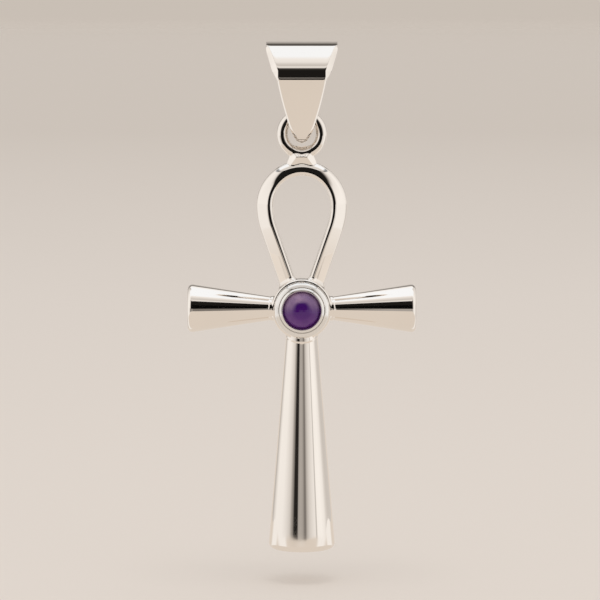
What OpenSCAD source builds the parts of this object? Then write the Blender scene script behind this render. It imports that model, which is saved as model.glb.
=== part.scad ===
// Ankh pendant: a folded bail, a soldered ankh with its hanging ring, and a round cabochon in a bezel.
// It hangs as worn. The origin is the inside top of the bail's fold, where a chain sits.
// The front faces -Y and +Z is up.

/* [Bail] */
// Height of the bail from the top of its fold to its tip
bail_h = 10.1; // [9.8:0.1:11]
// Depth of the bail across its fold, front to back
bail_depth = 7; // [6.4:0.1:7.6]
// Thickness of the strip at the fold
bail_wall = 0.85; // [0.7:0.05:1]
// Width across the fold
bail_fold_w = 7.1; // [6.6:0.1:8]
// Width where the fold's flare ends
bail_shoulder_w = 5.96; // [5.6:0.1:6.4]
// Width below the shoulder, where the blade starts
bail_waist_w = 5.06; // [4.6:0.1:5.4]
// Width where the blade ends and the point starts
bail_point_w = 2.44; // [2.2:0.1:2.6]
// Drop from the top of the fold to the shoulder
bail_shoulder_drop = 2.8; // [2.4:0.1:3.2]
// Height of the shoulder
bail_shoulder_h = 1.1; // [0.8:0.1:1.4]
// Height of the point
bail_point_h = 1.65; // [1.5:0.05:1.8]
// Radius of the blade's slightly curved edges
bail_edge_r = 20; // [17:1:40]
// Depth of the soldered tip, front to back
bail_tip_depth = 2.2; // [2:0.1:2.6]
// Radius of the bottom of the slot between the strips
bail_slot_r = 0.5; // [0.45:0.05:0.6]
// Metal left under the slot
bail_tip_metal = 0.75; // [0.6:0.05:0.85]

/* [Hanging ring] */
// Radius of the ring, to the middle of its wire
ring_r = 1.95; // [1.9:0.05:2.2]
// Thickness of the ring's wire
ring_wire = 1.1; // [0.9:0.05:1.15]
// Rise of the swing's axis above the middle of the slot's round bottom
swing_rise = 1.08; // [1:0.02:1.3]
// Height of the swing's axis above the ring's middle
swing_lift = 1.38; // [1.34:0.02:1.46]
// Width of the solder saddle between ring and loop
saddle_w = 2.8; // [2.4:0.1:3.4]
// Depth of the solder saddle, front to back
saddle_depth = 1.3; // [1:0.1:1.5]

/* [Loop] */
// Thickness of the loop's wire
loop_wire = 1.62; // [1.3:0.02:1.8]
// Radius of the loop's round top, to the middle of the wire
loop_top_r = 3.68; // [3.4:0.05:4]
// Radius of the loop's sides, to the middle of the wire
loop_side_r = 7.25; // [6:0.25:9]
// Lean of each leg from the vertical
leg_lean = 19.1; // [18:0.1:20.5]
// Clear drop between the ring and the loop, which the saddle bridges
loop_gap = 0.09; // [0.02:0.01:0.2]
// Drop from the loop's widest level to the middle of the arms
loop_drop = 10.36; // [9.8:0.1:11]

/* [Arms and stem] */
// Span of the arms
arm_span = 22.8; // [20:0.2:26]
// Thickness of an arm at the boss
arm_root_d = 2.3; // [2:0.1:2.6]
// Thickness of an arm at its end
arm_end_d = 4.92; // [4.2:0.1:5.4]
// Rounding of the arms' end edges
arm_edge_r = 0.35; // [0.2:0.05:0.6]
// Length of the stem below the middle of the arms
stem_len = 24.22; // [20:0.2:28]
// Thickness of the stem at the boss
stem_root_d = 3.16; // [2.8:0.1:3.6]
// Thickness of the stem at its end
stem_end_d = 6.72; // [5.8:0.1:7.4]
// Rounding of the stem's end edge
stem_edge_r = 0.6; // [0.3:0.05:0.9]

/* [Boss and bezel] */
// Diameter of the boss
boss_d = 6; // [5.8:0.1:6.6]
// Depth of the boss behind the middle of the arms
boss_back = 1.6; // [1.4:0.1:2]
// Depth of the boss in front of the middle of the arms
boss_front = 1.25; // [1.2:0.05:1.5]
// Rounding of the boss's back edge
boss_back_r = 1.2; // [0.6:0.1:1.3]
// Rounding of the boss's front edge
boss_front_r = 0.4; // [0.2:0.05:0.6]
// Wall of the bezel cup
bezel_wall = 0.71; // [0.55:0.02:0.75]
// Height of the bezel's rim over the boss's front
bezel_h = 1.35; // [1.3:0.05:1.6]
// Width of the round bead along the bezel's outer rim
bead_w = 0.4; // [0.3:0.05:0.5]
// How far the bezel's lip reaches in over the stone
lip_reach = 0.08; // [0.06:0.01:0.14]
// Drop from the bead's top to the lip's edge
lip_drop = 0.38; // [0.3:0.02:0.44]
// Thickness of the lip's edge
lip_edge = 0.08; // [0.06:0.01:0.12]

/* [Stone] */
// Diameter of the cabochon
stone_d = 4; // [3.9:0.05:4.2]
// Height of the cabochon's dome over its girdle
dome_h = 1.6; // [1.4:0.05:1.75]
// Height of the cabochon's girdle
girdle_h = 0.45; // [0.3:0.05:0.5]
// Gap between the stone and the metal round it
stone_gap = 0.07; // [0.05:0.01:0.1]

/* [Hidden] */
$fn = 72;
silver = [0.80, 0.78, 0.75];
violet = [0.28, 0.12, 0.42];

// Heights of the bail
fold_r = bail_depth / 2;
bail_top_z = bail_wall;
fold_z = bail_top_z - fold_r;
bail_tip_z = bail_top_z - bail_h;
tip_r = bail_tip_depth / 2;
slot_z = bail_tip_z + bail_tip_metal + bail_slot_r;
shoulder_z = bail_top_z - bail_shoulder_drop;
waist_z = shoulder_z - bail_shoulder_h;
point_z = bail_tip_z + bail_point_h;

// Lean of the blade's edges at the point, and the radius that carries them on to the tip
blade_chord = norm([(bail_waist_w - bail_point_w) / 2, waist_z - point_z]);
blade_lean = asin((bail_waist_w - bail_point_w) / 2 / blade_chord) + asin(blade_chord / 2 / bail_edge_r);
point_chord = norm([bail_point_w / 2, bail_point_h]);
point_lean = asin(bail_point_w / 2 / point_chord);
point_r = point_chord / 2 / sin(point_lean - blade_lean);

// Heights of the ring and the loop
swing_z = slot_z + swing_rise;
ring_z = swing_z - swing_lift;
ring_bottom_z = ring_z - ring_r - ring_wire / 2;
loop_top_z = ring_bottom_z - loop_gap - loop_wire / 2;
loop_z = loop_top_z - loop_top_r;
side_x = loop_top_r - loop_side_r;
leg_x = side_x + loop_side_r * cos(leg_lean);
leg_z = loop_z - loop_side_r * sin(leg_lean);

// How far a leg runs up inside the bent wire, and how much thinner that makes its radius
leg_seat = loop_wire / 3;
leg_step = leg_seat * leg_seat / loop_side_r;

// Heights and radii of the boss and what is rooted in it
cross_z = loop_z - loop_drop;
boss_r = boss_d / 2;
root_x = boss_r / 2;
leg_len = (leg_z - cross_z - root_x) / cos(leg_lean);

// Bezel and stone: radii, and depths in front of the middle of the arms
stone_r = stone_d / 2;
seat_r = stone_r + stone_gap;
bezel_r = seat_r + bezel_wall;
bead_r = bead_w / 2;
rim_y = boss_front + bezel_h;
lip_r = stone_r - lip_reach;
lip_y = rim_y - lip_drop;
dome_r = (stone_r * stone_r + dome_h * dome_h) / (2 * dome_h);
lip_rise = sqrt(pow(dome_r + stone_gap, 2) - lip_r * lip_r);
dome_y = lip_y - lip_edge - lip_rise;
stone_back_y = dome_y + dome_r - dome_h - girdle_h;
cup_y = stone_back_y - stone_gap;

// Two circles on one upright line, and the straight tangents that join them
module lobe(top_r, top_z, low_r, low_z) {
    lean_sin = (top_r - low_r) / (top_z - low_z);
    lean_cos = sqrt(1 - lean_sin * lean_sin);
    translate([0, top_z]) circle(top_r);
    translate([0, low_z]) circle(low_r);
    polygon([
        [-top_r * lean_cos, top_z - top_r * lean_sin],
        [-low_r * lean_cos, low_z - low_r * lean_sin],
        [low_r * lean_cos, low_z - low_r * lean_sin],
        [top_r * lean_cos, top_z - top_r * lean_sin]
    ]);
}

// A band between two heights whose two edges bulge out with one radius
module bulged_band(top_x, top_z, low_x, low_z, edge_r) {
    run = top_x - low_x;
    rise = top_z - low_z;
    chord = norm([run, rise]);
    inset = sqrt(edge_r * edge_r - chord * chord / 4);
    mid_x = (top_x + low_x) / 2 - inset * rise / chord;
    mid_z = (top_z + low_z) / 2 + inset * run / chord;
    intersection() {
        translate([mid_x, mid_z]) circle(edge_r, $fn = 240);
        translate([-mid_x, mid_z]) circle(edge_r, $fn = 240);
        translate([-top_x, low_z]) square([2 * top_x, rise]);
    }
}

// Front outline of the bail: the flared fold, the shoulder, the blade and the point
module bail_front() {
    polygon([
        [-bail_fold_w / 2, bail_top_z],
        [-bail_fold_w / 2, 0],
        [-bail_shoulder_w / 2, shoulder_z],
        [-bail_waist_w / 2, waist_z],
        [bail_waist_w / 2, waist_z],
        [bail_shoulder_w / 2, shoulder_z],
        [bail_fold_w / 2, 0],
        [bail_fold_w / 2, bail_top_z]
    ]);
    bulged_band(bail_waist_w / 2, waist_z, bail_point_w / 2, point_z, bail_edge_r);
    bulged_band(bail_point_w / 2, point_z, 0, bail_tip_z, point_r);
}

// Side outline of the bail: the strip, folded round the chain and closed at the tip
module bail_side() {
    difference() {
        lobe(fold_r, fold_z, tip_r, bail_tip_z + tip_r);
        lobe(fold_r - bail_wall, fold_z, bail_slot_r, slot_z);
    }
}

module bail() {
    color(silver) intersection() {
        rotate([90, 0, 90]) linear_extrude(bail_fold_w, center = true) bail_side();
        rotate([90, 0, 0]) linear_extrude(bail_depth, center = true) bail_front();
    }
}

// Part of a ring of round wire, lying flat, between two angles from the X axis
module wire_arc(arc_r, wire_d, from, to) {
    rotate_extrude(start = from, angle = to - from) translate([arc_r, 0]) circle(wire_d / 2, $fn = 48);
}

module hanging_ring() {
    translate([0, 0, ring_z]) rotate([90, 0, 0]) wire_arc(ring_r, ring_wire, 0, 360);
}

// Block of solder between the ring and the loop's top
module saddle() {
    saddle_top_z = ring_z - sqrt(pow(ring_r + ring_wire / 2, 2) - pow(saddle_w / 2, 2));
    translate([-saddle_w / 2, -saddle_depth / 2, loop_top_z])
        cube([saddle_w, saddle_depth, saddle_top_z - loop_top_z]);
}

// Teardrop of round wire, whose straight legs start inside the bent wire and end inside the boss
module loop() {
    translate([0, 0, loop_z]) rotate([90, 0, 0]) wire_arc(loop_top_r, loop_wire, 0, 180);
    for (flip = [0, 1]) mirror([flip, 0, 0]) {
        translate([side_x, 0, loop_z]) rotate([90, 0, 0]) wire_arc(loop_side_r, loop_wire, -leg_lean, 0);
        translate([leg_x, 0, leg_z]) rotate([0, 180 + leg_lean, 0]) translate([0, 0, -leg_seat])
            cylinder(h = leg_len + leg_seat, d = loop_wire - 2 * leg_step, $fn = 48);
    }
}

// Round bar along +Z that flares from the boss's rim to its end, and starts inside the boss
module flared_bar(root_d, end_d, end_z, edge_r) {
    flare = (end_d - root_d) / 2 / (end_z - boss_r);
    flare_cos = cos(atan(flare));
    flare_sin = sin(atan(flare));
    start_r = root_d / 2 - flare * (boss_r - root_x);
    edge_z = end_z - edge_r;
    edge_x = root_d / 2 + flare * (edge_z - boss_r) - edge_r / flare_cos;
    rotate_extrude() {
        polygon([
            [0, root_x],
            [start_r, root_x],
            [edge_x + edge_r * flare_cos, edge_z - edge_r * flare_sin],
            [edge_x, edge_z],
            [edge_x, end_z],
            [0, end_z]
        ]);
        translate([edge_x, edge_z]) circle(edge_r, $fn = 48);
    }
}

module arms() {
    for (flip = [0, 1]) mirror([flip, 0, 0]) translate([0, 0, cross_z]) rotate([0, 90, 0])
        flared_bar(arm_root_d, arm_end_d, arm_span / 2, arm_edge_r);
}

module stem() {
    translate([0, 0, cross_z]) rotate([180, 0, 0])
        flared_bar(stem_root_d, stem_end_d, stem_len, stem_edge_r);
}

// Half outline of the boss and the bezel cup without its hollow, across and then forward
module boss_half() {
    back_y = boss_back_r - boss_back;
    front_y = boss_front - boss_front_r;
    translate([0, -boss_back]) square([boss_r - boss_back_r, boss_back]);
    translate([boss_r - boss_back_r, back_y]) circle(boss_back_r);
    translate([0, back_y]) square([boss_r, front_y - back_y]);
    translate([boss_r - boss_front_r, front_y]) circle(boss_front_r, $fn = 48);
    square([bezel_r, rim_y - bead_r]);
    translate([bezel_r - bead_r, rim_y - bead_r]) circle(bead_r, $fn = 48);
}

// Half outline of the hollow that the stone sits in, with the slope of the lip's upper face
module seat_half() {
    under_y = lip_y - lip_edge;
    polygon([
        [0, cup_y],
        [seat_r, cup_y],
        [seat_r, under_y - seat_r + lip_r],
        [lip_r, under_y],
        [lip_r, lip_y],
        [bezel_r - bead_w, rim_y - bead_r],
        [bezel_r - bead_w, rim_y + bead_w],
        [0, rim_y + bead_w]
    ]);
}

module ankh() {
    color(silver) difference() {
        union() {
            hanging_ring();
            saddle();
            loop();
            arms();
            stem();
            translate([0, 0, cross_z]) rotate([90, 0, 0]) rotate_extrude() boss_half();
        }
        translate([0, 0, cross_z]) rotate([90, 0, 0]) rotate_extrude() seat_half();
    }
}

// Round cabochon: a short girdle with a dome of one radius over it
module stone() {
    color(violet) translate([0, 0, cross_z]) rotate([90, 0, 0]) rotate_extrude() intersection() {
        translate([0, dome_y]) circle(dome_r);
        translate([0, stone_back_y]) square([stone_r, girdle_h + dome_h]);
    }
}

bail();
ankh();
stone();
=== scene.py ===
"""Ankh pendant: polished silver bail and ankh with a violet cabochon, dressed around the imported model."""

import math
from types import SimpleNamespace

import bpy
import numpy as np
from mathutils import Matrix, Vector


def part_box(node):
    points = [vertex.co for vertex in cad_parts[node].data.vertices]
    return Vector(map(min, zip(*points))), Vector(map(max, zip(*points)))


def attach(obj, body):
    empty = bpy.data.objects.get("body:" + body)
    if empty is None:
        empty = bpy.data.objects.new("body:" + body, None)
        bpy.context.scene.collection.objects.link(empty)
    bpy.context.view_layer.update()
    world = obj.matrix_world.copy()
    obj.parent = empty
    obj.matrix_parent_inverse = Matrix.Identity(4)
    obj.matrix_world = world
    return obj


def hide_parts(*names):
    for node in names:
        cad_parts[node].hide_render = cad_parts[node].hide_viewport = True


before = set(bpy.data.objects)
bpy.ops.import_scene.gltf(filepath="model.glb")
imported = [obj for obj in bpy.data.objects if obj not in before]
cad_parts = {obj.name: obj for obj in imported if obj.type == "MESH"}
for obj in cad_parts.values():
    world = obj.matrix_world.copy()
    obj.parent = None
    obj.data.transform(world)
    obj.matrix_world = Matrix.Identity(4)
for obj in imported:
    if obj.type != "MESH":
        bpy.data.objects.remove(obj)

bl_info = {
    "name": "Ankh Pendant",
    "version": (1, 0, 0),
    "blender": (4, 5, 0),
    "location": "3D View > Sidebar > Pendant",
    "description": "Builds a silver ankh pendant with a cabochon, and a small studio for it",
    "category": "Add Mesh",
}

MM = 0.001

bail_low, bail_high = (np.array(corner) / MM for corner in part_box("bail"))
ankh_low, ankh_high = (np.array(corner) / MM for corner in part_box("ankh"))
stone_low, stone_high = (np.array(corner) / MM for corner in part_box("stone"))
CROSS_Z = float(stone_low[2] + stone_high[2]) / 2

# Half width of the bail's front face at drops from the top of the fold, in millimetres, down to the blade.
FACE_DROPS = (0.0, 0.3, 0.42, 0.55, 2.2, 2.6, 3.4, 3.7)
FACE_HALVES = (3.49, 3.49, 3.3, 3.2, 2.56, 2.37, 2.36, 2.27)
# Arcs down the side of the fold: how far the face tilts up at the arc's end in degrees, radius, and steps.
SIDE_ARCS = ((81, 0.8, 6), (77.3, 22.0, 10), (75.3, 12.5, 5), (43, 0.45, 12),
             (36.5, 16.4, 14), (19.7, 3.0, 16), (3, 2.35, 14))
# Radius and steps of the arc from the upright band into the blade, and a first guess at the blade's lean.
BAND_ARC = (1.0, 18)
FIRST_LEAN = 23.0
# Drop below the side's widest place down to which the side is fitted to the depth of the box.
FITTED_DROP = 0.8
# How far the face tilts down at each solder seam of the tip, and the spread of a seam, in degrees.
SEAM_TILTS = (29, 42, 58)
SEAM_SPREAD = 4.5
# Most of the strip's thickness that a bevel takes, outside and inside, and most of its half width.
OUTER_BEVEL_SHARE, INNER_BEVEL_SHARE, WIDTH_BEVEL_SHARE = 0.72, 0.2, 0.7
CUP_SEGMENTS, STONE_SEGMENTS = 224, 192


def length(name, description, millimetres, low=0.0):
    """A length property with its default given in millimetres."""
    return bpy.props.FloatProperty(
        name=name, description=description, default=millimetres * MM, min=low,
        subtype="DISTANCE", unit="LENGTH", precision=5)


def angle(name, description, degrees):
    """An angle property with its default given in degrees."""
    return bpy.props.FloatProperty(
        name=name, description=description, default=math.radians(degrees), subtype="ANGLE", unit="ROTATION")


def colour(name, description, default):
    """A colour property, which may be brighter than white."""
    return bpy.props.FloatVectorProperty(
        name=name, description=description, default=default, size=3, min=0.0, max=4.0, subtype="COLOR")


def share(name, description, default):
    """A property from 0 to 1."""
    return bpy.props.FloatProperty(
        name=name, description=description, default=default, min=0.0, max=1.0, subtype="FACTOR")


def in_mm(group):
    """The settings of a property group, with its lengths in millimetres."""
    rules = group.bl_rna.properties
    values = {name: getattr(group, name) for name in group.__annotations__}
    return SimpleNamespace(**{name: value / MM if rules[name].unit == "LENGTH" else value
                              for name, value in values.items()})


class BailSizes(bpy.types.PropertyGroup):
    wall: length("Wall", "Thickness of the folded strip", 0.85)
    tip_wall: length("Tip wall", "Thickness of the strip beside the slot", 0.6)
    tip_metal: length("Tip metal", "Metal left under the slot", 0.75)
    tip_radius: length("Tip radius", "Radius of the soldered tip, seen from the side", 1.1)
    fold_width: length("Fold width", "Width across the fold", 7.1)
    shoulder_width: length("Shoulder width", "Width where the fold's flare ends", 5.96)
    waist_width: length("Waist width", "Width where the blade starts", 4.9)
    point_width: length("Point width", "Width where the blade ends", 2.44)
    shoulder_drop: length("Shoulder drop", "Drop from the top of the fold to the shoulder", 2.8)
    shoulder_height: length("Shoulder height", "Height of the shoulder", 0.9)
    point_height: length("Point height", "Height of the rounded point", 1.65)
    blade_bulge: length("Blade bulge", "How far the blade's edges bulge out", 0.08)
    blade_bevel: length("Blade bevel", "Bevel on the edges of the blade", 0.20)
    tip_bevel: length("Tip bevel", "Bevel on the edges at the tip", 0.28)
    inner_bevel: length("Inner bevel", "Bevel on the edges inside the fold", 0.12)
    edge_round: length("Edge rounding", "Rounding along both lines of a bevel", 0.06)
    seam_depth: length("Seam depth", "Depth of the solder seams round the tip", 0.035)


class AnkhSizes(bpy.types.PropertyGroup):
    grid: length("Grid", "Spacing of the mesh", 0.11)
    boss_radius: length("Boss radius", "Radius of the boss", 3.0)
    boss_back: length("Boss back", "Depth of the boss behind the arms' middle", 1.6)
    boss_front: length("Boss front", "Depth of the boss in front of the arms' middle", 1.25)
    boss_back_round: length("Boss back rounding", "Rounding of the boss's back edge", 1.2)
    boss_front_round: length("Boss front rounding", "Rounding of the boss's front edge", 0.2)
    arm_root: length("Arm root radius", "Radius of an arm at the boss", 1.15)
    arm_end: length("Arm end radius", "Radius of an arm at its end", 2.46)
    arm_round: length("Arm end rounding", "Rounding of the arms' end edges", 0.55)
    stem_root: length("Stem root radius", "Radius of the stem at the boss", 1.58)
    stem_end: length("Stem end radius", "Radius of the stem at its end", 3.36)
    stem_round: length("Stem end rounding", "Rounding of the stem's end edge", 0.6)
    loop_radius: length("Loop top radius", "Radius of the loop's round top, to the middle of the wire", 3.68)
    side_radius: length("Loop side radius", "Radius of the loop's sides, to the middle of the wire", 7.25)
    loop_drop: length("Loop drop", "Drop from the loop's widest level to the middle of the arms", 10.36)
    crown_long: length("Crown long half", "Longer half axis of the oval wire at the loop's crown", 0.79)
    crown_short: length("Crown short half", "Shorter half axis of the oval wire at the loop's crown", 0.50)
    ridge_radius: length("Ridge radius", "Radius of the ridge that runs inside the front of the loop", 0.42)
    heel_radius: length("Heel radius", "Radius of the loop's outer back edge", 0.50)
    wire_half: length("Wire half width", "Half the width of the loop's wire at the sides", 0.83)
    collar: length("Collar", "How far the leg ends swell at the boss", 0.08)
    root_collar: length("Root collar", "How far the arms and the stem swell at the boss", 0.09)
    root_solder: length("Root solder", "Spread of the solder fillets of the arms and the stem", 0.25)
    ring_radius: length("Ring radius", "Radius of the hanging ring, to the middle of its wire", 1.95)
    ring_wire: length("Ring wire radius", "Radius of the ring's wire", 0.55)
    saddle_width: length("Saddle width", "Width of the solder at the middle of the ring's wire", 2.3)
    saddle_reach: length("Saddle reach", "Distance of the solder's upper slopes from the ring's wire", 0.49)
    saddle_foot: length("Saddle foot", "Distance of the solder's lower slopes from the ring's wire", 0.96)
    saddle_round: length("Saddle rounding", "Rounding of the solder's edges", 0.08)
    saddle_dent: length("Saddle dent", "Depth of the dent in the middle of the upper slopes", 0.07)
    saddle_dent_width: length("Saddle dent width", "Half width of that dent", 0.3)
    saddle_arch: length("Saddle arch", "Depth of the arch in the middle of the lower slopes", 0.16)
    saddle_arch_width: length("Saddle arch width", "Half width of that arch", 0.55)
    saddle_corner: length("Saddle corner", "Distance of the solder's outward corners from its middle", 0.98)
    saddle_turn: angle("Saddle turn", "How far those corners turn outward", 42)
    saddle_flare: bpy.props.FloatProperty(
        name="Saddle flare", description="How much wider each end of the solder grows upward", default=-0.4)
    saddle_slope: angle("Saddle slope", "Slope of the solder's faces from the vertical", 36)
    solder: length("Solder", "Spread of the solder fillets at the boss", 0.45)
    leg_lean: angle("Leg lean", "Lean of each leg from the vertical", 19.1)
    wire_roll: angle("Wire roll", "Turn of the oval wire about its own line", 27)


class BezelSizes(bpy.types.PropertyGroup):
    outer_radius: length("Outer radius", "Radius of the bezel cup", 2.74)
    seat_radius: length("Seat radius", "Radius of the cup's hollow", 2.07)
    lip_radius: length("Lip radius", "Radius of the lip's edge", 1.80)
    rim: length("Rim", "Depth of the rim in front of the arms' middle", 2.55)
    crest_radius: length("Crest radius", "Radius of the crest round the stone", 1.95)
    crest_round: length("Crest rounding", "Rounding of the crest", 0.07)
    outer_drop: length("Outer drop", "Drop from the crest to the bezel's outer edge", 0.48)
    lip_drop: length("Lip drop", "Drop from the crest to the lip's edge", 0.29)
    edge_round: length("Edge rounding", "Rounding of the outer edge", 0.12)
    groove_radius: length("Groove radius", "Radius of the fine groove between the bezel's two slopes", 2.27)
    groove_drop: length("Groove drop", "Drop from the crest to the groove", 0.19)
    groove_width: length("Groove width", "Width of the fine groove", 0.09)
    groove_cut: length("Groove cut", "Depth of the fine groove", 0.05)
    swell: length("Swell", "How far both slopes bulge out", 0.025)


class StoneSizes(bpy.types.PropertyGroup):
    girdle: length("Girdle", "Height of the cabochon's girdle", 0.45)


class Finishes(bpy.types.PropertyGroup):
    silver: colour("Silver", "Colour of the polished silver", (0.92, 0.87, 0.815))
    # Painted shade: the silver turns this colour in its seams and crevices, where shade falls.
    tarnish: colour("Tarnish", "Colour that gathers in the seams of the silver", (0.5, 0.45, 0.39))
    # Painted shade and reflection: the colour of the dark ring round the stone.
    oxide: colour("Oxide", "Colour of the dark gap round the stone", (0.03, 0.018, 0.026))
    # Painted light and shade: the stone is coloured darker on its upper side and lighter low down, where
    # light gathers in it.
    violet_deep: colour("Deep violet", "Colour of the stone's shaded side", (0.048, 0.007, 0.125))
    violet_light: colour("Light violet", "Colour of the stone where light gathers in it", (0.13, 0.015, 0.24))
    # Painted highlight: a pale zone near the stone's upper edge.
    violet_veil: colour("Violet veil", "Colour of the pale zone near the stone's upper edge",
                        (0.36, 0.235, 0.35))
    polish: share("Polish", "Roughness of the polished metal", 0.035)


class Studio(bpy.types.PropertyGroup):
    floor_drop: length("Floor drop", "Gap between the stem's end and the floor", 3.3)
    tent_front: length("Tent front", "Distance of the tent's wall in front", 150)
    tent_side: length("Tent side", "Distance of the tent's wall at the sides", 95)
    tent_top: length("Tent top", "Height of the tent's wall above the bail", 95)
    camera_distance: length("Camera distance", "Distance of the camera from the pendant", 330)
    target_shift: length("Target shift", "Shift of the camera's target along X", -0.18, low=-1.0)
    target_drop: length("Target drop", "Drop of the camera's target below the bail", 24.905)
    camera_tilt: angle("Camera tilt", "How far the camera looks down", 5.5)
    camera_lens: bpy.props.FloatProperty(
        name="Lens", description="Focal length of the camera in millimetres", default=198.0, min=1.0,
        unit="CAMERA")
    # Painted light falloff: the floor is coloured lighter under the pendant and darker far behind.
    floor_near: colour("Near floor", "Colour of the floor under the pendant", (0.815, 0.738, 0.67))
    floor_far: colour("Far floor", "Colour of the floor far behind", (0.725, 0.65, 0.58))
    backdrop: colour("Backdrop", "Colour behind the floor", (0.584, 0.522, 0.462))
    fill: colour("Fill light", "Soft light on the floor from all round", (0.79, 0.79, 0.79))
    key_power: bpy.props.FloatProperty(
        name="Key power", description="Power of the overhead lamp in watts", default=0.18, min=0.0,
        unit="POWER")


SETTINGS = {
    "pendant_bail": BailSizes,
    "pendant_ankh": AnkhSizes,
    "pendant_bezel": BezelSizes,
    "pendant_stone": StoneSizes,
    "pendant_finishes": Finishes,
    "pendant_studio": Studio,
}


# Implicit shapes, in millimetres. Each is below zero inside.

def smooth_max(a, b, spread):
    """The larger of two distances, with the inner corner between them rounded."""
    h = np.maximum(spread - np.abs(a - b), 0) / spread
    return np.maximum(a, b) + h * h * h * spread / 6


def smooth_min(a, b, spread):
    """The smaller of two distances, with the outer corner between them filled."""
    return -smooth_max(-a, -b, spread)


def ease(value, start, end):
    """Smooth step from 0 at the start to 1 at the end, which may lie either way."""
    t = np.clip((value - start) / (end - start), 0, 1)
    return t * t * (3 - 2 * t)


def round_max(a, b, radius):
    """Two faces that meet in an edge of one radius."""
    return (np.minimum(np.maximum(a, b), -radius)
            + np.hypot(np.maximum(a + radius, 0), np.maximum(b + radius, 0)))


def flared_bar(along, across, start, rim, end, root_radius, end_radius, rounding):
    """Round bar that flares from the boss's rim to its rounded end."""
    flare = (end_radius - root_radius) / (end - rim)
    side = (across - root_radius - flare * (along - rim)) / math.hypot(1, flare)
    bar = round_max(side, along - end, rounding)
    return np.maximum(bar, start - along)


def bevelled(outward, forward, half, ridge, heel):
    """Wire section with a flat front face that slopes outward from a ridge at its inner front to its heel."""
    ridge_x, ridge_y = -half + ridge, half - ridge
    heel_x, heel_y = half - heel, heel - half
    run = math.hypot(heel_x - ridge_x, heel_y - ridge_y)
    along_x, along_y = (heel_x - ridge_x) / run, (heel_y - ridge_y) / run
    across = np.abs((outward - ridge_x) * -along_y + (forward - ridge_y) * along_x)
    along = (outward - ridge_x) * along_x + (forward - ridge_y) * along_y
    turn = (ridge - heel) / run
    grip = math.sqrt(1 - turn * turn)
    side = across * grip + along * turn - ridge
    slide = along * grip - across * turn
    return np.where(slide < 0, np.hypot(across, along) - ridge,
                    np.where(slide > run * grip, np.hypot(across, along - run) - heel, side))


def oval(outward, forward, long_half, short_half, roll):
    """Oval section whose long axis leans from the outer back to the inner front."""
    p = forward * math.sin(roll) - outward * math.cos(roll)
    q = forward * math.cos(roll) + outward * math.sin(roll)
    near = np.hypot(p / long_half, q / short_half)
    steep = np.hypot(p / long_half ** 2, q / short_half ** 2)
    return near * (near - 1) / np.maximum(steep, 1e-9)


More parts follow.
